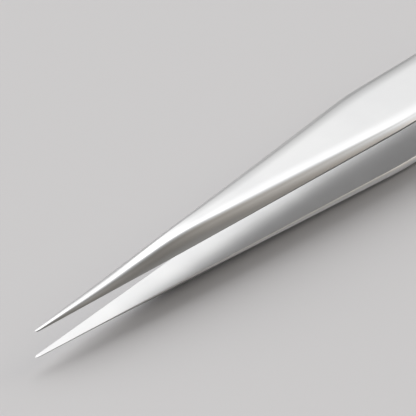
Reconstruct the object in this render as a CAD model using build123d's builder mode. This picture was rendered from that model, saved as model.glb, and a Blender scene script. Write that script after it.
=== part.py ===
from build123d import *
import os
from math import degrees, atan2

# Needle-pointed precision tweezers, in millimetres.
#
# Two stainless arms are spot-welded to a wedge at the heel and spring open from there.
# X runs from the points (-X) to the heel (+X), Y across the arms, and the arms open along Z.
# The tweezers lie on the flat outer face of the lower arm, at Z = 0, and the origin is on
# that surface, under the middle of their length. Stations are distances from the points.

# Stations along the arms
LENGTH = 120.0           # points to heel
NEEDLE_MIDDLE = 10.0     # where the needle point starts to thin more slowly
POINT_END = 23.2         # end of the ground needle point
SHOULDER = 61.0          # where the arms reach their full width
BEND_START = 84.0        # where the handle starts to close towards the heel
WELD_FRONT = 106.0       # front edge of the wedge, the root of both springs
BEND_SECTIONS = 8        # spans of the smooth bend between BEND_START and WELD_FRONT

# Heights from the middle plane between the arms
TIP_GAP = 3.3            # between the points at rest
POINT_GAP = 3.9          # between the arms where the needle points end
SHOULDER_GAP = 5.0       # between the arms along the handle
WEDGE_FRONT = 2.2        # thickness of the wedge at its front edge
WEDGE_REAR = 1.7         # thickness of the wedge at the heel
OUTER_HEIGHT = 3.6       # from the middle plane to the outer faces of the arms
NEEDLE_HEIGHT = 2.38     # from the middle plane to the outer faces at NEEDLE_MIDDLE
TIP_THICKNESS = 0.14
HEEL_THICKNESS = 1.1

# Widths across the arms
TIP_WIDTH = 0.45
ARM_WIDTH = 10.2
HEEL_WIDTH = 8.4
TIP_BEVEL = 0.03         # how far each side leans in towards the outer face
POINT_BEVEL = 1.22
SHOULDER_BEVEL = 0.80
HEEL_BEVEL = 0.25
TIP_EDGE = 0.03          # chamfer that stands for the rounded edges of the inner face
POINT_EDGE = 0.10
SHOULDER_EDGE = 0.36
HEEL_EDGE = 0.15

# Height of that chamfer: the arms are widest where it ends
TIP_RISE = 0.03
POINT_RISE = 0.12
SHOULDER_RISE = 0.62
HEEL_RISE = 0.30

HEEL_CORNER = 1.8        # radius of the corners of the heel, seen from above
OUTLINE_MARGIN = 0.01    # keeps the cut of those corners clear of the arms' sides
WEDGE_INSET = 0.15       # the wedge stands this far inside the arms' widest line

# Spot welds, two on each side of the wedge
WELD_STATIONS = (110.0, 115.5)
NUGGET_DIAMETER = 2.6
NUGGET_DEPTH = 0.22      # into the wedge and into the arm
NUGGET_CLEARANCE = 0.03
DIMPLE_DIAMETER = 3.2    # mark of the welding electrode on the outer face
DIMPLE_DEPTH = 0.08

UPPER = 1
LOWER = -1


def from_points(station):
    """Return the X of a station, which is a distance from the points."""
    return station - LENGTH / 2


def between(start, end, share):
    """Return the value a share of the way from start to end."""
    return start + (end - start) * share


def eased(share):
    """Return a smooth step, level at both ends."""
    return share * share * (3 - 2 * share)


def along(station, stations, values):
    """Return a value at a station, on straight lines between the given ones."""
    for index in range(len(stations) - 1):
        if station <= stations[index + 1]:
            break
    span = stations[index + 1] - stations[index]
    share = (station - stations[index]) / span
    return between(values[index], values[index + 1], share)


def wedge_half(station):
    """Return the half thickness of the wedge at a station."""
    share = (station - WELD_FRONT) / (LENGTH - WELD_FRONT)
    return between(WEDGE_FRONT, WEDGE_REAR, share) / 2


def inner_height(station):
    """Return the height of an arm's inner face over the middle plane."""
    if station <= BEND_START:
        stations = (0, POINT_END, SHOULDER, BEND_START)
        gaps = (TIP_GAP, POINT_GAP, SHOULDER_GAP, SHOULDER_GAP)
        return along(station, stations, gaps) / 2
    if station >= WELD_FRONT:
        return wedge_half(station)
    share = (station - BEND_START) / (WELD_FRONT - BEND_START)
    return between(SHOULDER_GAP / 2, wedge_half(station), eased(share))


def outer_height(station):
    """Return the height of an arm's outer face over the middle plane."""
    tip_height = TIP_GAP / 2 + TIP_THICKNESS
    if station <= BEND_START:
        stations = (0, NEEDLE_MIDDLE, POINT_END, BEND_START)
        return along(station, stations, (tip_height, NEEDLE_HEIGHT, OUTER_HEIGHT, OUTER_HEIGHT))
    heel_height = wedge_half(station) + HEEL_THICKNESS
    if station >= WELD_FRONT:
        return heel_height
    share = (station - BEND_START) / (WELD_FRONT - BEND_START)
    return between(OUTER_HEIGHT, heel_height, eased(share))


def arm_width(station):
    """Return the greatest width of an arm."""
    stations = (0, SHOULDER, BEND_START, LENGTH)
    return along(station, stations, (TIP_WIDTH, ARM_WIDTH, ARM_WIDTH, HEEL_WIDTH))


def bevel_width(station):
    """Return how far each side of an arm leans in towards its outer face."""
    stations = (0, POINT_END, SHOULDER, LENGTH)
    return along(station, stations, (TIP_BEVEL, POINT_BEVEL, SHOULDER_BEVEL, HEEL_BEVEL))


def edge_width(station):
    """Return how far the chamfer along an arm's inner face comes in."""
    stations = (0, POINT_END, SHOULDER, BEND_START, WELD_FRONT, LENGTH)
    sizes = (TIP_EDGE, POINT_EDGE, SHOULDER_EDGE, SHOULDER_EDGE, HEEL_EDGE, HEEL_EDGE)
    return along(station, stations, sizes)


def edge_rise(station):
    """Return the height of the chamfer along an arm's inner face."""
    stations = (0, POINT_END, SHOULDER, BEND_START, WELD_FRONT, LENGTH)
    sizes = (TIP_RISE, POINT_RISE, SHOULDER_RISE, SHOULDER_RISE, HEEL_RISE, HEEL_RISE)
    return along(station, stations, sizes)


def section_plane(station):
    """Return the plane across the arms at a station, with local X along Y and local Y up."""
    return Plane((from_points(station), 0, OUTER_HEIGHT), x_dir=(0, 1, 0), z_dir=(1, 0, 0))


def arm_section(station, side):
    """Draw an arm's cross-section at a station: a chamfered inner face and leaning sides."""
    widest = arm_width(station) / 2
    inner = widest - edge_width(station)
    outer = widest - bevel_width(station)
    low = side * inner_height(station)
    middle = low + side * edge_rise(station)
    high = side * outer_height(station)
    right = [(inner, low), (widest, middle), (outer, high)]
    left = [(-across, height) for across, height in reversed(right)]
    with BuildSketch(section_plane(station)) as section:
        with BuildLine():
            Polyline(*right, *left, close=True)
        make_face()
    return section.sketch


def make_outline():
    """Draw the arms' outline from above, with the corners of the heel rounded."""
    front = from_points(BEND_START)
    rear = from_points(LENGTH)
    wide = ARM_WIDTH / 2 + OUTLINE_MARGIN
    narrow = HEEL_WIDTH / 2 + OUTLINE_MARGIN
    start = from_points(-1)
    right = [(start, wide), (front, wide), (rear, narrow)]
    left = [(x, -y) for x, y in reversed(right)]
    with BuildSketch() as outline:
        with BuildLine():
            Polyline(*right, *left, close=True)
        make_face()
        heel_corners = outline.vertices().group_by(Axis.X)[-1]
        fillet(heel_corners, HEEL_CORNER)
    return outline.sketch


def weld_plane(station, side):
    """Return the plane on a wedge face at a weld, facing out of the wedge."""
    tilt = degrees(atan2(WEDGE_FRONT - WEDGE_REAR, 2 * (LENGTH - WELD_FRONT)))
    height = OUTER_HEIGHT + side * wedge_half(station)
    turned = Plane((from_points(station), 0, height), x_dir=(1, 0, 0), z_dir=(0, 0, side))
    return turned.rotated((0, side * tilt, 0))


def make_arm(side):
    """Build one arm as a single leaf of steel, from its point to the heel."""
    handle = (0, NEEDLE_MIDDLE, POINT_END, SHOULDER, BEND_START)
    bend = [between(BEND_START, WELD_FRONT, n / BEND_SECTIONS) for n in range(BEND_SECTIONS + 1)]
    with BuildPart() as arm:
        loft([arm_section(s, side) for s in handle], ruled=True)
        loft([arm_section(s, side) for s in bend])
        loft([arm_section(s, side) for s in (WELD_FRONT, LENGTH)], ruled=True)
        extrude(make_outline(), amount=2 * OUTER_HEIGHT, mode=Mode.INTERSECT)
        for station in WELD_STATIONS:
            pocket_radius = NUGGET_DIAMETER / 2 + NUGGET_CLEARANCE
            with BuildSketch(weld_plane(station, side)):
                Circle(pocket_radius)
            extrude(amount=NUGGET_DEPTH, mode=Mode.SUBTRACT)
            with BuildSketch(weld_plane(station, side).offset(HEEL_THICKNESS - DIMPLE_DEPTH)):
                Circle(DIMPLE_DIAMETER / 2)
            extrude(amount=1.0, mode=Mode.SUBTRACT)
    return arm


def make_wedge():
    """Build the wedge between the tails of the arms, with a pocket for each weld nugget."""
    with BuildPart() as wedge:
        sections = []
        for station in (WELD_FRONT, LENGTH):
            width = arm_width(station) - 2 * WEDGE_INSET
            with BuildSketch(section_plane(station)) as section:
                Rectangle(width, 2 * wedge_half(station))
            sections.append(section.sketch)
        loft(sections, ruled=True)
        heel_corners = wedge.edges().group_by(Axis.X)[-1].sort_by(SortBy.LENGTH)[:2]
        fillet(heel_corners, HEEL_CORNER)
        for side in (UPPER, LOWER):
            for station in WELD_STATIONS:
                with BuildSketch(weld_plane(station, side)):
                    Circle(NUGGET_DIAMETER / 2)
                extrude(amount=-NUGGET_DEPTH, mode=Mode.SUBTRACT)
    return wedge


def make_nuggets(side):
    """Build the weld nuggets that join one arm to the wedge."""
    with BuildPart() as nuggets:
        for station in WELD_STATIONS:
            with BuildSketch(weld_plane(station, side)):
                Circle(NUGGET_DIAMETER / 2)
            extrude(amount=NUGGET_DEPTH, both=True)
    return nuggets


os.makedirs("parts", exist_ok=True)

# The two arms, mirror images of each other
upper_arm = make_arm(UPPER)
upper_arm.part.label = "upper_arm"
export_step(upper_arm.part, "parts/upper_arm.step")

lower_arm = make_arm(LOWER)
lower_arm.part.label = "lower_arm"
export_step(lower_arm.part, "parts/lower_arm.step")

# The heel: the wedge, and the welds that hold an arm on each of its faces
heel_wedge = make_wedge()
heel_wedge.part.label = "heel_wedge"
export_step(heel_wedge.part, "parts/heel_wedge.step")

upper_welds = make_nuggets(UPPER)
upper_welds.part.label = "upper_welds"
export_step(upper_welds.part, "parts/upper_welds.step")

lower_welds = make_nuggets(LOWER)
lower_welds.part.label = "lower_welds"
export_step(lower_welds.part, "parts/lower_welds.step")
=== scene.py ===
import logging
import math
from dataclasses import dataclass, field
from enum import Enum

import bmesh
import bpy
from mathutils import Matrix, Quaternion, Vector


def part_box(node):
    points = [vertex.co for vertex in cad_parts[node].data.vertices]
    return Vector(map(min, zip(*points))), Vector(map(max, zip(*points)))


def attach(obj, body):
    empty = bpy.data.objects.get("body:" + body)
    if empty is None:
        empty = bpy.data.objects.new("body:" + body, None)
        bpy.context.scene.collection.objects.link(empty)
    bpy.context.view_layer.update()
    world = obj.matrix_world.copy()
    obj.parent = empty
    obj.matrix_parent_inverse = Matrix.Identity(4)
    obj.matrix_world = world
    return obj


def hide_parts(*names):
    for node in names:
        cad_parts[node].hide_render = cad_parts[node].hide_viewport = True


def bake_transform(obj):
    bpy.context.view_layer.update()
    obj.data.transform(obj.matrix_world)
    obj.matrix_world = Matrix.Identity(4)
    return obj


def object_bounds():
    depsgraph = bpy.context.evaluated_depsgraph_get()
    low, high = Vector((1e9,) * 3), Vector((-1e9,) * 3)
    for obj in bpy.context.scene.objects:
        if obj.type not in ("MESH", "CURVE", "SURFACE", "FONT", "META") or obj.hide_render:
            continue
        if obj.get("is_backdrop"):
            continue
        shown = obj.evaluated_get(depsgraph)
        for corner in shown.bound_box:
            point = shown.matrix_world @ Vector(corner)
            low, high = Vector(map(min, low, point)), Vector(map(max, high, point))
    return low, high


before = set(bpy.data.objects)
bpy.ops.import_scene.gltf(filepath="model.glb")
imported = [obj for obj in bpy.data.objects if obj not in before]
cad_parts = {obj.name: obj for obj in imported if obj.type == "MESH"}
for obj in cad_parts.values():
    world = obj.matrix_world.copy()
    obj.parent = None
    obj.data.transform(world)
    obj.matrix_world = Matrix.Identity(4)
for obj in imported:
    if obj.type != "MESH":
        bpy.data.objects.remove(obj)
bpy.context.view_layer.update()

# Needle-pointed precision tweezers: two satin-polished stainless arms, spot-welded to a wedge.
#
# X runs from the points to the heel, Y across the arms, and the arms open along Z. The tweezers
# lie on the lower arm. Sizes are in millimetres, and MM turns them to the scene's metres.
# Stations are distances from the points.

MM = 0.001
CRISP_ANGLE = 50.0      # edges sharper than this many degrees stay crisp
WINDOW_STEPS = 6        # samples on each side of a rounded corner's window
log = logging.getLogger("tweezers")


class Side(Enum):
    """Which arm a piece belongs to, as the sign of its Z from the middle plane."""

    UPPER = 1
    LOWER = -1


class Finish(Enum):
    """Material slot names for the arms and the wedge, as the record lists them; the script does not
    give them to its pieces.
    """

    ARM = "arm_steel"
    WEDGE = "wedge_steel"


# ---------------------------------------------------------------------------------------------
# Small helpers
# ---------------------------------------------------------------------------------------------


def linear(colour: str) -> tuple[float, float, float, float]:
    """Turn an sRGB hex colour into linear RGBA.

    Args:
        colour: Six hex digits with a leading hash.

    Returns:
        The linear colour with an alpha of 1.
    """
    parts = [int(colour[i : i + 2], 16) / 255 for i in (1, 3, 5)]
    red, green, blue = (c / 12.92 if c <= 0.04045 else ((c + 0.055) / 1.055) ** 2.4 for c in parts)
    return red, green, blue, 1.0


def between(start: float, end: float, share: float) -> float:
    """Return the value a share of the way from start to end."""
    return start + (end - start) * share


def eased(share: float) -> float:
    """Return a smooth step, level at both ends."""
    return share * share * (3 - 2 * share)


def along(station: float, stations: list[float], values: list[float]) -> float:
    """Return a value at a station, on straight lines between the given ones."""
    for index in range(len(stations) - 1):
        if station <= stations[index + 1]:
            break
    span = stations[index + 1] - stations[index]
    return between(values[index], values[index + 1], (station - stations[index]) / span)


def softened(station: float, stations: list[float], values: list[float], reach: float) -> float:
    """Return the value at a station, with the corners between the straight lines rounded off.

    Args:
        station: Where the value is wanted, in millimetres from the points.
        stations: Where the values are given.
        values: The given values.
        reach: How far each side of a corner the rounding goes, in millimetres.

    Returns:
        The mean of the straight-line value over a window that closes at both ends.
    """
    reach = max(0.0, min(reach, station - stations[0], stations[-1] - station))
    window = range(-WINDOW_STEPS, WINDOW_STEPS + 1)
    total = sum(along(station + reach * n / WINDOW_STEPS, stations, values) for n in window)
    return total / len(window)


def add_node(tree: bpy.types.NodeTree, kind: str, settings: dict, links: dict) -> bpy.types.Node:
    """Add a node, set its properties and inputs, and link its inputs.

    Args:
        tree: The node tree to add to.
        kind: The node's type, such as ShaderNodeTexNoise.
        settings: Properties by name, and values by input socket name or number.
        links: Output sockets by input socket name or number.

    Returns:
        The new node.
    """
    node = tree.nodes.new(kind)
    for name, value in settings.items():
        if isinstance(name, str) and hasattr(node, name):
            setattr(node, name, value)
        else:
            node.inputs[name].default_value = value
    for name, socket in links.items():
        tree.links.new(socket, node.inputs[name])
    return node


def new_material(name: str) -> tuple[bpy.types.Material, bpy.types.NodeTree, bpy.types.Node]:
    """Make an empty node material and return it with its tree and its shader."""
    material = bpy.data.materials.new(name)
    material.use_nodes = True
    tree = material.node_tree
    tree.nodes.clear()
    shader = add_node(tree, "ShaderNodeBsdfPrincipled", {}, {})
    add_node(tree, "ShaderNodeOutputMaterial", {}, {"Surface": shader.outputs["BSDF"]})
    return material, tree, shader


def new_piece(
    name: str, bm: bmesh.types.BMesh, material: bpy.types.Material,
) -> bpy.types.Object:
    """Turn a finished bmesh into an object with smooth faces and crisp sharp edges.

    Args:
        name: The piece's name.
        bm: The mesh, in metres, which is freed.
        material: Its finish.

    Returns:
        The new object, linked to the scene.
    """
    bmesh.ops.recalc_face_normals(bm, faces=bm.faces)
    limit = math.radians(CRISP_ANGLE)
    for face in bm.faces:
        face.smooth = True
    for edge in bm.edges:
        edge.smooth = len(edge.link_faces) == 2 and edge.calc_face_angle(0.0) < limit
    mesh = bpy.data.meshes.new(name)
    bm.to_mesh(mesh)
    bm.free()
    mesh.materials.append(material)
    piece = bpy.data.objects.new(name, mesh)
    bpy.context.scene.collection.objects.link(piece)
    log.info("%s: %d faces", name, len(mesh.polygons))
    return piece


# ---------------------------------------------------------------------------------------------
# Finishes
# ---------------------------------------------------------------------------------------------


@dataclass(frozen=True)
class SatinSteel:
    """Austenitic stainless steel, drawn and satin polished along its length.

    The even polish blurs what the arms reflect into soft gradients. Slow clouds keep the broad
    faces from looking like plastic, the polish lines draw the reflections out along the arms,
    and the grinding lines run across the needle points.
    """

    name: str = "satin_polished_stainless_steel"
    colour: str = "#CFCFCE"
    shade: str = "#C4C4C5"
    smoothest: float = 0.28         # roughness in the brightest clouds
    dullest: float = 0.33           # and in the dullest
    cloud_size: float = 9.0
    cloud_detail: float = 3.0
    cloud_roughness: float = 0.55
    cloud_range: tuple = (0.3, 0.7)  # of the noise, between the smoothest and the dullest
    polish_stretch: tuple = (0.03, 1.0, 1.0)
    polish_spacing: float = 0.26    # real polish lines are finer: drawn as coarse as they show
    polish_depth: float = 0.0012
    grind_stretch: tuple = (1.0, 0.12, 0.12)
    grind_spacing: float = 0.30
    grind_depth: float = 0.0008
    line_detail: float = 2.0
    line_roughness: float = 0.6
    point_end_x: float = -35.5      # where the ground point ends, along X
    point_fade: float = 3.0

    def build(self) -> bpy.types.Material:
        """Build the node material."""
        material, tree, shader = new_material(self.name)
        shader.inputs["Metallic"].default_value = 1.0
        place = add_node(tree, "ShaderNodeTexCoord", {}, {}).outputs["Object"]
        self.clouds(tree, place, shader)
        polish = add_node(
            tree, "ShaderNodeBump", {"Strength": 1.0, "Distance": self.polish_depth * MM},
            {"Height": self.lines(tree, place, self.polish_stretch, self.polish_spacing)},
        )
        grind = self.lines(tree, place, self.grind_stretch, self.grind_spacing)
        on_point = add_node(
            tree, "ShaderNodeMath", {"operation": "MULTIPLY"},
            {0: grind, 1: self.point_mask(tree, place)},
        )
        bump = add_node(
            tree, "ShaderNodeBump", {"Strength": 1.0, "Distance": self.grind_depth * MM},
            {"Height": on_point.outputs["Value"], "Normal": polish.outputs["Normal"]},
        )
        tree.links.new(bump.outputs["Normal"], shader.inputs["Normal"])
        return material

    def clouds(
        self, tree: bpy.types.NodeTree, place: bpy.types.NodeSocket, shader: bpy.types.Node,
    ) -> None:
        """Vary the tint and the polish slowly over the arms."""
        clouds = add_node(
            tree, "ShaderNodeTexNoise",
            {
                "Scale": 1 / (self.cloud_size * MM), "Detail": self.cloud_detail,
                "Roughness": self.cloud_roughness,
            },
            {"Vector": place},
        )
        tint = add_node(
            tree, "ShaderNodeMix",
            {"data_type": "RGBA", 6: linear(self.colour), 7: linear(self.shade)},
            {0: clouds.outputs["Fac"]},
        )
        tree.links.new(tint.outputs[2], shader.inputs["Base Color"])
        low, high = self.cloud_range
        rough = add_node(
            tree, "ShaderNodeMapRange",
            {
                "From Min": low, "From Max": high,
                "To Min": self.smoothest, "To Max": self.dullest,
            },
            {"Value": clouds.outputs["Fac"]},
        )
        tree.links.new(rough.outputs["Result"], shader.inputs["Roughness"])

    def lines(
        self, tree: bpy.types.NodeTree, place: bpy.types.NodeSocket, stretch: tuple, spacing: float,
    ) -> bpy.types.NodeSocket:
        """Return a field of fine lines.

        Args:
            tree: The material's node tree.
            place: The place on the piece.
            stretch: Scale along each axis; the lines run along the axes where it is small.
            spacing: How far apart the lines are, in millimetres.

        Returns:
            The socket that carries their height, 0 to 1.
        """
        scale = tuple(s / (spacing * MM) for s in stretch)
        mapped = add_node(tree, "ShaderNodeMapping", {"Scale": scale}, {"Vector": place})
        noise = add_node(
            tree, "ShaderNodeTexNoise",
            {"Scale": 1.0, "Detail": self.line_detail, "Roughness": self.line_roughness},
            {"Vector": mapped.outputs["Vector"]},
        )
        return noise.outputs["Fac"]

    def point_mask(
        self, tree: bpy.types.NodeTree, place: bpy.types.NodeSocket,
    ) -> bpy.types.NodeSocket:
        """Return 1 on the ground needle point, fading to 0 behind it."""
        axes = add_node(tree, "ShaderNodeSeparateXYZ", {}, {"Vector": place})
        mask = add_node(
            tree, "ShaderNodeMapRange",
            {
                "From Min": (self.point_end_x + self.point_fade) * MM,
                "From Max": (self.point_end_x - self.point_fade) * MM,
            },
            {"Value": axes.outputs["X"]},
        )
        return mask.outputs["Result"]


@dataclass(frozen=True)
class GroundSteel:
    """Stainless bar, ground flush with the arms after welding.

    It is duller and darker than the arms, with lines along X, so the wedge reads as a separate
    piece between them.
    """

    name: str = "ground_stainless_steel"
    colour: str = "#B4B3B0"
    shade: str = "#9C9B98"
    roughness: float = 0.42
    line_stretch: tuple = (0.05, 1.0, 1.0)
    line_spacing: float = 0.18
    line_depth: float = 0.002
    line_detail: float = 3.0

    def build(self) -> bpy.types.Material:
        """Build the node material."""
        material, tree, shader = new_material(self.name)
        shader.inputs["Metallic"].default_value = 1.0
        shader.inputs["Roughness"].default_value = self.roughness
        place = add_node(tree, "ShaderNodeTexCoord", {}, {}).outputs["Object"]
        scale = tuple(s / (self.line_spacing * MM) for s in self.line_stretch)
        mapped = add_node(tree, "ShaderNodeMapping", {"Scale": scale}, {"Vector": place})
        lines = add_node(
            tree, "ShaderNodeTexNoise", {"Scale": 1.0, "Detail": self.line_detail},
            {"Vector": mapped.outputs["Vector"]},
        )
        tint = add_node(
            tree, "ShaderNodeMix",
            {"data_type": "RGBA", 6: linear(self.colour), 7: linear(self.shade)},
            {0: lines.outputs["Fac"]},
        )
        tree.links.new(tint.outputs[2], shader.inputs["Base Color"])
        bump = add_node(
            tree, "ShaderNodeBump", {"Strength": 1.0, "Distance": self.line_depth * MM},
            {"Height": lines.outputs["Fac"]},
        )
        tree.links.new(bump.outputs["Normal"], shader.inputs["Normal"])
        return material


@dataclass(frozen=True)
class WeldedSteel:
    """Stainless that melted and froze again in the spot welds: grey, rough and mottled."""

    name: str = "welded_stainless_steel"
    colour: str = "#8F8B85"
    shade: str = "#6E6963"
    roughness: float = 0.55
    grain: float = 0.25
    grain_detail: float = 4.0

    def build(self) -> bpy.types.Material:
        """Build the node material."""
        material, tree, shader = new_material(self.name)
        shader.inputs["Metallic"].default_value = 1.0
        shader.inputs["Roughness"].default_value = self.roughness
        place = add_node(tree, "ShaderNodeTexCoord", {}, {}).outputs["Object"]
        grains = add_node(
            tree, "ShaderNodeTexNoise",
            {"Scale": 1 / (self.grain * MM), "Detail": self.grain_detail}, {"Vector": place},
        )
        tint = add_node(
            tree, "ShaderNodeMix",
            {"data_type": "RGBA", 6: linear(self.colour), 7: linear(self.shade)},
            {0: grains.outputs["Fac"]},
        )
        tree.links.new(tint.outputs[2], shader.inputs["Base Color"])
        return material


@dataclass(frozen=True)
class StudioCard:
    """Plain pale matt card under the object, which takes its soft shadow."""

    name: str = "studio_card"
    colour: str = "#D0CFD0"
    roughness: float = 0.9
    specular: float = 0.2

    def build(self) -> bpy.types.Material:
        """Build the node material."""
        material, _, shader = new_material(self.name)
        shader.inputs["Base Color"].default_value = linear(self.colour)
        shader.inputs["Roughness"].default_value = self.roughness
        shader.inputs["Specular IOR Level"].default_value = self.specular
        return material


# ---------------------------------------------------------------------------------------------
# Sub-assemblies
# ---------------------------------------------------------------------------------------------


@dataclass
class Arm:
    """One arm: a leaf of steel from its needle point, over the handle, to its welded tail."""

    side: Side
    node: str
    body: str

    # Stations along the arm
    length: float = 120.0
    needle_middle: float = 10.0     # where the outer face turns towards the tip
    point_end: float = 23.2
    shoulder: float = 61.0
    flex_end: float = 62.0          # the leaf bends from the wedge to where fingers press it
    bend_start: float = 84.0
    weld_front: float = 106.0
    weld_stations: tuple = (110.0, 115.5)

    # Heights: the gaps and the wedge are from arm to arm
    tip_gap: float = 3.3
    point_gap: float = 3.9
    handle_gap: float = 5.0
    wedge_front: float = 2.2
    wedge_rear: float = 1.7
    outer_height: float = 3.6
    needle_height: float = 2.38
    tip_thickness: float = 0.14
    heel_thickness: float = 1.1

    # Widths, and how far the sides lean in towards the outer face
    tip_width: float = 0.45
    full_width: float = 10.2
    heel_width: float = 8.4
    tip_bevel: float = 0.03
    point_bevel: float = 1.22
    shoulder_bevel: float = 0.80
    heel_bevel: float = 0.25

    # Rounded long edges
    edge_widths: tuple = (0.03, 0.10, 0.36, 0.15)   # of the inner face: at the point, kink,
    edge_rises: tuple = (0.03, 0.12, 0.62, 0.30)    # handle and heel
    edge_share: float = 0.4         # of the half width that such an edge may take
    edge_flatness: float = 0.65     # they are nearer to a chamfer than to a round
    outer_edge: float = 0.34        # setback of the outer face's edges, on a broad section
    outer_edge_width: float = 0.55  # and the most of the outer half width, and of the height
    outer_edge_height: float = 0.4  # of the side, that it takes on a slender one
    roll_width: float = 1.6         # the outer face rolls down this close to its long edges
    roll_drop: float = 0.13
    roll_share: float = 0.8         # of the outer half width that the roll may take
    side_bulge: float = 0.05        # of each side, as a share of its slanting height
    ridge_slope: float = 0.06       # the ground point has a low ridge along its outer face
    corner_reach: float = 3.5       # how far the polished-over corners of the outline reach

    # The two ends
    tip_round: float = 0.70         # the very point narrows over this length
    point_share: float = 0.12       # to this share of its section
    heel_corner: float = 1.8

    # Marks of the welding electrodes
    dimple_radius: float = 1.55
    dimple_depth: float = 0.08
    dimple_wall: float = 0.25       # width of its sloping wall, in radii
    rim_height: float = 0.015
    rim_place: float = 1.08         # in radii
    rim_width: float = 0.08         # in radii
    dimple_region: float = 1.6      # the mesh is cut finer within this many radii
    dimple_cuts: int = 4
    face_depth: float = 0.3         # corners farther than this off the face aren't part of it

    # Steps of the mesh
    hold: float = 0.04              # a row this close to each inner edge keeps the face flat,
    hold_share: float = 0.2         # or this share of the flat on a slender section
    inner_steps: int = 4
    edge_steps: int = 6
    side_steps: int = 8
    outer_steps: int = 14
    outer_bunching: float = 0.8     # under 1, the steps are closer at the edge of the face
    tip_steps: int = 10
    heel_steps: int = 8
    corner_zone: float = 4.0        # rows are closer this far each side of a corner
    span_rows: tuple = (24, 12, 20, 10, 10, 30, 24)     # rows on the point, kink, body,
                                                        # shoulder, handle, bend and tail
    middle: float = field(init=False)
    start_x: float = field(init=False)

    def __post_init__(self) -> None:
        """Take the places of the middle plane and of the points from the frame."""
        low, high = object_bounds()
        self.middle = (low.z + high.z) / 2 / MM
        self.start_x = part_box(self.node)[0].x / MM

    # Heights and widths along the arm

    def wedge_half(self, station: float) -> float:
        """Return the half thickness of the wedge at a station."""
        share = (station - self.weld_front) / (self.length - self.weld_front)
        return between(self.wedge_front, self.wedge_rear, share) / 2

    def bent(self, station: float, handle: float, tail: float) -> float:
        """Return a height on the bend between the handle and the tail."""
        share = (station - self.bend_start) / (self.weld_front - self.bend_start)
        return between(handle, tail, eased(min(1.0, max(0.0, share))))

    def inner_height(self, station: float) -> float:
        """Return the height of the inner face over the middle plane."""
        stations = [0, self.point_end, self.shoulder, self.length]
        gaps = [self.tip_gap, self.point_gap, self.handle_gap, self.handle_gap]
        return self.bent(station, along(station, stations, gaps) / 2, self.wedge_half(station))

    def outer_height_at(self, station: float) -> float:
        """Return the height of the crest of the outer face over the middle plane."""
        tip = self.tip_gap / 2 + self.tip_thickness
        stations = [0, self.needle_middle, self.point_end, self.length]
        heights = [tip, self.needle_height, self.outer_height, self.outer_height]
        handle = softened(station, stations, heights, self.corner_reach)
        return self.bent(station, handle, self.wedge_half(station) + self.heel_thickness)

    def width(self, station: float) -> float:
        """Return the width of the inner face."""
        stations = [0, self.shoulder, self.bend_start, self.length]
        widths = [self.tip_width, self.full_width, self.full_width, self.heel_width]
        return softened(station, stations, widths, self.corner_reach)

    def bevel(self, station: float) -> float:
        """Return how far each side leans in towards the outer face."""
        stations = [0, self.point_end, self.shoulder, self.length]
        bevels = [self.tip_bevel, self.point_bevel, self.shoulder_bevel, self.heel_bevel]
        return softened(station, stations, bevels, self.corner_reach)

    def inner_edge(self, station: float, sizes: tuple) -> float:
        """Return a size of the rounded long edges of the inner face, from its four values."""
        stations = [0, self.point_end, self.shoulder, self.bend_start, self.weld_front, self.length]
        point, kink, handle, heel = sizes
        return softened(station, stations, [point, kink, handle, handle, heel, heel], self.corner_reach)

    def end_round(self, station: float) -> float:
        """Return how much each side is drawn in by the rounded corners of the heel."""
        into = station - (self.length - self.heel_corner)
        if into <= 0:
            return 0.0
        return self.heel_corner - math.sqrt(max(0.0, self.heel_corner**2 - into**2))

    def ridge(self, station: float) -> float:
        """Return how steeply the outer face falls from its middle line, on the ground point."""
        share = (station - self.needle_middle) / (self.point_end - self.needle_middle)
        return self.ridge_slope * (1 - eased(min(1.0, max(0.0, share))))

    # The cross-section

    def half_section(self, station: float) -> list[tuple[float, float]]:
        """Return one half of the cross-section, from the inner middle to the outer middle.

        The inner face ends in a rounded edge, the side leans in from there, and the outer face
        rolls down to meet it.

        Args:
            station: Distance from the points, in millimetres.

        Returns:
            Distances from the middle line with heights over the middle plane.
        """
        widest = self.width(station) / 2 - self.end_round(station)
        outer = widest - self.bevel(station)
        low = self.inner_height(station)
        crest = self.outer_height_at(station)
        edge = min(self.inner_edge(station, self.edge_widths), widest * self.edge_share)
        rise = self.inner_edge(station, self.edge_rises)
        roll = min(self.roll_width, outer * self.roll_share)
        drop = self.roll_drop * roll / self.roll_width
        top = crest - drop - self.ridge(station) * outer
        foot = Vector((widest, low + rise))
        corner = Vector((outer, top))
        side = (corner - foot).normalized()
        height = top - foot.y
        soft = min(
            self.outer_edge, outer * self.outer_edge_width, height * self.outer_edge_height,
        )
        head = corner - side * soft

        flat = widest - edge
        held = flat - min(self.hold, flat * self.hold_share)
        section = [(held * n / self.inner_steps, low) for n in range(self.inner_steps + 1)]
        inner_corner = Vector((widest, low))
        section += self.rounded(
            inner_corner, Vector((-edge, 0)), Vector((0, rise)), self.edge_flatness,
        )
        section += self.bulged(foot, head, side)
        slope = Vector((-roll, 2 * drop)).normalized()  # of the roll, where it meets the side
        section += self.rounded(corner, -side * soft, slope * soft, 0.0)
        reach = outer + slope.x * soft
        for n in range(1, self.outer_steps + 1):
            across = reach * (1 - (n / self.outer_steps) ** self.outer_bunching)
            into = min(1.0, (outer - across) / roll)
            fall = drop * (1 - into) ** 2 + self.ridge(station) * across
            section.append((across, crest - fall))
        return section

    def bulged(self, foot: Vector, head: Vector, side: Vector) -> list[tuple[float, float]]:
        """Return points on the slightly bulged side, without its two ends.

        Args:
            foot: Where the side starts, at the inner face's edge.
            head: Where it ends, at the outer face's edge.
            side: The direction from one to the other.

        Returns:
            Points from the foot to the head, on a curve pulled to a point twice as far out.
        """
        bulge = Vector((side.y, -side.x)) * (head - foot).length * self.side_bulge
        belly = foot.lerp(head, 0.5) + bulge * 2
        points = []
        for n in range(1, self.side_steps):
            share = n / self.side_steps
            points.append(tuple(foot.lerp(belly, share).lerp(belly.lerp(head, share), share)))
        return points

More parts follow.
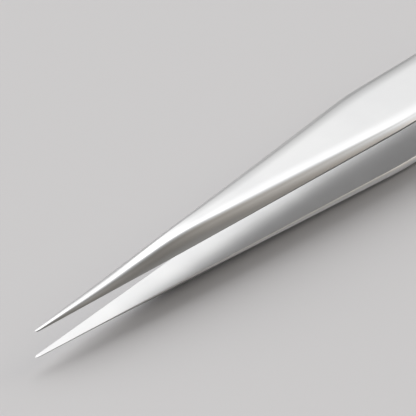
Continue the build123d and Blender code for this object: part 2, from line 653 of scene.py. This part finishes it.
    def rounded(
        self, corner: Vector, back: Vector, ahead: Vector, flatness: float,
    ) -> list[tuple[float, float]]:
        """Return points on the rounded corner between two setbacks.

        Args:
            corner: The corner that is rounded off.
            back: From the corner to where the rounding starts.
            ahead: From the corner to where it ends.
            flatness: 0 for a round edge, 1 for a flat chamfer.

        Returns:
            Points from the start to the end.
        """
        sharp = corner + (back + ahead) / 2 * flatness
        points = []
        for n in range(self.edge_steps + 1):
            share = n / self.edge_steps
            first = (corner + back).lerp(sharp, share)
            second = sharp.lerp(corner + ahead, share)
            points.append(tuple(first.lerp(second, share)))
        return points

    def section(self, station: float, shrink: float) -> list[Vector]:
        """Return the whole cross-section in metres, shrunk about its middle at a rounded end."""
        half = self.half_section(station)
        loop = half + [(-across, height) for across, height in reversed(half[1:-1])]
        x = self.start_x + station
        heart = (self.inner_height(station) + self.outer_height_at(station)) / 2
        points = []
        for across, height in loop:
            height = heart + (height - heart) * shrink
            points.append(Vector((x, across * shrink, self.middle + self.side.value * height)) * MM)
        return points

    def stations(self) -> list[tuple[float, float]]:
        """Return each station of the mesh with how much its section is shrunk."""
        rows = []
        for n in range(self.tip_steps):
            angle = math.pi / 2 * n / self.tip_steps
            shrink = max(self.point_share, math.sin(angle))
            rows.append((self.tip_round * (1 - math.cos(angle)), shrink))
        zone = self.corner_zone
        stops = [
            self.tip_round, self.point_end - zone, self.point_end + zone,
            self.shoulder - zone, self.shoulder + zone, self.bend_start - zone,
            self.weld_front, self.length - self.heel_corner,
        ]
        for start, end, count in zip(stops, stops[1:], self.span_rows):
            rows += [(between(start, end, n / count), 1.0) for n in range(count)]
        for n in range(self.heel_steps + 1):
            angle = math.pi / 2 * n / self.heel_steps
            rows.append((self.length - self.heel_corner * (1 - math.sin(angle)), 1.0))
        return rows

    # The mesh

    def build(self, material: bpy.types.Material) -> None:
        """Build the arm as one mesh, with the marks of the welding electrodes pressed into its tail.

        Args:
            material: The arm's finish.
        """
        rows = self.stations()
        first = self.section(*rows[0])
        bm = bmesh.new()
        bmesh.ops.create_circle(bm, segments=len(first), radius=MM)
        order = bm.verts.layers.int.new("order")
        for index, (vert, place) in enumerate(zip(bm.verts, first)):
            vert[order] = index
            vert.co = place
        bmesh.ops.edgeloop_fill(bm, edges=list(bm.edges))
        rim = list(bm.edges)
        for row in rows[1:]:
            places = self.section(*row)
            grown = bmesh.ops.extrude_edge_only(bm, edges=rim)["geom"]
            for item in grown:
                if isinstance(item, bmesh.types.BMVert):
                    item.co = places[item[order]]
            rim = [item for item in grown if isinstance(item, bmesh.types.BMEdge)]
            rim = [edge for edge in rim if len(edge.link_faces) == 1]
        bmesh.ops.edgeloop_fill(bm, edges=rim)
        for station in self.weld_stations:
            self.press_mark(bm, station)
        arm = new_piece(self.node + "_leaf", bm, material)
        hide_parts(self.node)
        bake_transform(arm)

    def press_mark(self, bm: bmesh.types.BMesh, station: float) -> None:
        """Press the shallow round mark of a welding electrode into the outer face."""
        height = self.outer_height_at(station)
        centre = Vector((self.start_x + station, 0, self.middle + self.side.value * height)) * MM
        region = self.dimple_radius * self.dimple_region * MM

        def near(vert: bmesh.types.BMVert) -> bool:
            """Return whether a corner lies on the outer face, close to the mark."""
            away = vert.co - centre
            return abs(away.z) < self.face_depth * MM and math.hypot(away.x, away.y) < region

        edges = [edge for edge in bm.edges if all(near(vert) for vert in edge.verts)]
        bmesh.ops.subdivide_edges(bm, edges=edges, cuts=self.dimple_cuts, use_grid_fill=True)
        for vert in bm.verts:
            if not near(vert):
                continue
            away = math.hypot(vert.co.x - centre.x, vert.co.y - centre.y)
            radii = away / (self.dimple_radius * MM)
            inside = min(1.0, max(0.0, (1.0 - radii) / self.dimple_wall))
            pressed = self.dimple_depth * eased(inside)
            raised = self.rim_height * math.exp(-(((radii - self.rim_place) / self.rim_width) ** 2))
            vert.co.z -= self.side.value * (pressed - raised) * MM


@dataclass
class Heel:
    """The wedge between the tails, and the weld nuggets that hold the arms to it."""

    length: float = 14.0
    front_width: float = 8.80
    rear_width: float = 8.10
    front_thickness: float = 2.2
    rear_thickness: float = 1.7
    corner: float = 1.8             # radius of the corners of the heel, seen from above
    corner_steps: int = 10
    upright_limit: float = 0.5      # the ends of an upright edge are no farther apart, along Y
    broken_edge: float = 0.10       # every other edge is broken on the grinding belt
    broken_angle: float = 40.0      # if it is sharper than this many degrees
    edge_steps: int = 3

    def build(self, wedge_finish: bpy.types.Material, weld_finish: bpy.types.Material) -> None:
        """Build the wedge and dress the weld nuggets, which lie hidden against it.

        Args:
            wedge_finish: The finish of the wedge.
            weld_finish: The finish of the nuggets.
        """
        self.wedge(wedge_finish)
        for name in ("upper_welds", "lower_welds"):
            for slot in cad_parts[name].material_slots:
                slot.material = weld_finish
            log.info("%s dressed", name)

    def wedge(self, finish: bpy.types.Material) -> None:
        """Build the wedge: a tapered block with rounded heel corners and broken edges."""
        low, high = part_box("heel_wedge")
        centre = (low + high) / 2
        bm = bmesh.new()
        bmesh.ops.create_cube(bm, size=1.0)
        for vert in bm.verts:
            rear = vert.co.x > 0
            width = self.rear_width if rear else self.front_width
            thickness = self.rear_thickness if rear else self.front_thickness
            place = Vector((vert.co.x * self.length, vert.co.y * width, vert.co.z * thickness))
            vert.co = place * MM + centre
        upright = [
            edge for edge in bm.edges
            if all(vert.co.x > centre.x for vert in edge.verts)
            and abs(edge.verts[0].co.y - edge.verts[1].co.y) < self.upright_limit * MM
        ]
        self.round_off(bm, upright, self.corner, self.corner_steps)
        limit = math.radians(self.broken_angle)
        sharp = [edge for edge in bm.edges if edge.calc_face_angle(0.0) > limit]
        self.round_off(bm, sharp, self.broken_edge, self.edge_steps)
        wedge = new_piece("wedge_block", bm, finish)
        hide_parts("heel_wedge")
        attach(wedge, "heel")

    def round_off(
        self, bm: bmesh.types.BMesh, edges: list[bmesh.types.BMEdge], size: float, steps: int,
    ) -> None:
        """Round some edges off.

        Args:
            bm: The mesh, in metres.
            edges: The edges.
            size: How far back the rounding starts, in millimetres.
            steps: How many flats stand for the round.
        """
        bmesh.ops.bevel(
            bm, geom=edges, offset=size * MM, offset_type="OFFSET", segments=steps,
            affect="EDGES", profile=0.5, material=-1,
        )


@dataclass(frozen=True)
class SoftPanel:
    """A soft-edged patch of light on the tent around the object.

    Angles are in degrees. An azimuth of 0 is off the near side of the arms, 90 beyond the
    heel, 180 off the far side and 270 in front of the points.
    """

    azimuth: float
    elevation: float
    strength: float
    colour: str = "#FFFFFF"


@dataclass
class Studio:
    """Floor, lights and camera."""

    # Camera: the direction it looks from, and the place on the object that it aims at
    azimuth: float = -50.06
    elevation: float = 32.12
    roll: float = 0.88
    distance: float = 300.0
    lens: float = 220.1
    sensor: float = 36.0
    nearest: float = 10.0
    farthest: float = 10000.0
    target_station: float = 33.7
    target_across: float = 4.05

    # Floor
    floor_size: float = 3000.0
    floor_drop: float = 0.02        # it lies this far under the arm, so no faces coincide

    # Lights
    panel_tightness: float = 20.0   # higher draws every panel in
    panels: tuple = (
        # A glow along the horizon: faint at the near corner of the heel, which the near sides
        # mirror, and stronger off the far side and round to the points
        SoftPanel(30.0, 3.0, 0.45),
        SoftPanel(60.0, 3.0, 0.45),
        SoftPanel(150.0, 3.0, 0.70),
        SoftPanel(180.0, 3.0, 1.30),
        SoftPanel(210.0, 3.0, 2.20),
        SoftPanel(240.0, 3.0, 1.20),
        # A warm window low beyond the heel, and two low panels off the far side
        SoftPanel(75.0, 22.0, 3.50, "#FFF5E8"),
        SoftPanel(195.0, 22.0, 2.30),
        SoftPanel(225.0, 22.0, 1.70),
        # A ring half way up, which the broad faces mirror, and a dim fill behind the viewer
        SoftPanel(90.0, 40.0, 0.60, "#EAF4FF"),
        SoftPanel(120.0, 40.0, 1.45),
        SoftPanel(150.0, 40.0, 0.90),
        SoftPanel(180.0, 40.0, 0.50),
        SoftPanel(210.0, 40.0, 2.20),
        SoftPanel(330.0, 40.0, 0.80),
        # Light from overhead, for the floor
        SoftPanel(140.0, 58.0, 1.65),
        SoftPanel(200.0, 62.0, 0.60),
        SoftPanel(60.0, 80.0, 0.40),
    )

    def build(self, card: bpy.types.Material) -> None:
        """Build the studio around the object."""
        self.floor(card)
        self.world()
        self.camera()
        bpy.context.scene.view_settings.view_transform = "Standard"

    def direction(self, azimuth: float, elevation: float) -> Vector:
        """Return the unit vector from the object towards a viewer at those angles."""
        a, e = math.radians(azimuth), math.radians(elevation)
        return Vector((math.sin(a) * math.cos(e), -math.cos(a) * math.cos(e), math.sin(e)))

    def floor(self, card: bpy.types.Material) -> None:
        """Build the floor, a plain card."""
        bm = bmesh.new()
        bmesh.ops.create_grid(bm, x_segments=2, y_segments=2, size=self.floor_size / 2 * MM)
        floor = new_piece("floor", bm, card)
        floor.location.z = -self.floor_drop * MM
        floor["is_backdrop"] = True

    def world(self) -> None:
        """Surround the object with a light tent, lit by its soft panels."""
        world = bpy.data.worlds.new("light_tent")
        world.use_nodes = True
        tree = world.node_tree
        background = tree.nodes["Background"]
        way = add_node(tree, "ShaderNodeTexCoord", {}, {}).outputs["Generated"]
        light = None
        for panel in self.panels:
            patch = self.patch(tree, way, panel)
            if light is None:
                light = patch
            else:
                both = add_node(
                    tree, "ShaderNodeVectorMath", {"operation": "ADD"}, {0: light, 1: patch},
                )
                light = both.outputs["Vector"]
        tree.links.new(light, background.inputs["Color"])
        bpy.context.scene.world = world

    def patch(
        self, tree: bpy.types.NodeTree, way: bpy.types.NodeSocket, panel: SoftPanel,
    ) -> bpy.types.NodeSocket:
        """Return the light of one panel: brightest at its middle and fading evenly around it.

        Args:
            tree: The world's node tree.
            way: The direction looked in.
            panel: The panel.

        Returns:
            The socket that carries its colour.
        """
        towards = tuple(self.direction(panel.azimuth, panel.elevation))
        facing = add_node(
            tree, "ShaderNodeVectorMath", {"operation": "DOT_PRODUCT", 1: towards}, {0: way},
        )
        depth = self.panel_tightness
        fall = add_node(
            tree, "ShaderNodeMath", {"operation": "MULTIPLY_ADD", 1: depth, 2: -depth},
            {0: facing.outputs["Value"]},
        )
        shape = add_node(
            tree, "ShaderNodeMath", {"operation": "EXPONENT"}, {0: fall.outputs["Value"]},
        )
        colour = [panel.strength * channel for channel in linear(panel.colour)[:3]]
        glow = add_node(
            tree, "ShaderNodeVectorMath", {"operation": "SCALE", 0: colour},
            {"Scale": shape.outputs["Value"]},
        )
        return glow.outputs["Vector"]

    def camera(self) -> None:
        """Place the camera low over the points, looking along the arms to the heel."""
        low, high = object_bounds()
        middle = (low.z + high.z) / 2
        target = Vector((low.x + self.target_station * MM, self.target_across * MM, middle))
        back = self.direction(self.azimuth, self.elevation)
        data = bpy.data.cameras.new("camera")
        data.lens = self.lens
        data.sensor_width = self.sensor
        data.clip_start = self.nearest * MM
        data.clip_end = self.farthest * MM
        camera = bpy.data.objects.new("camera", data)
        camera.rotation_mode = "QUATERNION"
        camera.location = target + back * self.distance * MM
        roll = Quaternion((0, 0, 1), math.radians(self.roll))
        camera.rotation_quaternion = (-back).to_track_quat("-Z", "Y") @ roll
        bpy.context.scene.collection.objects.link(camera)
        bpy.context.scene.camera = camera


def main() -> None:
    """Build the tweezers and their studio."""
    logging.basicConfig(level=logging.INFO, format="%(name)s %(message)s")
    steel = SatinSteel().build()
    Arm(Side.UPPER, "upper_arm", "upper").build(steel)
    Arm(Side.LOWER, "lower_arm", "lower").build(steel)
    Heel().build(GroundSteel().build(), WeldedSteel().build())
    Studio().build(StudioCard().build())


if __name__ == "__main__":
    main()
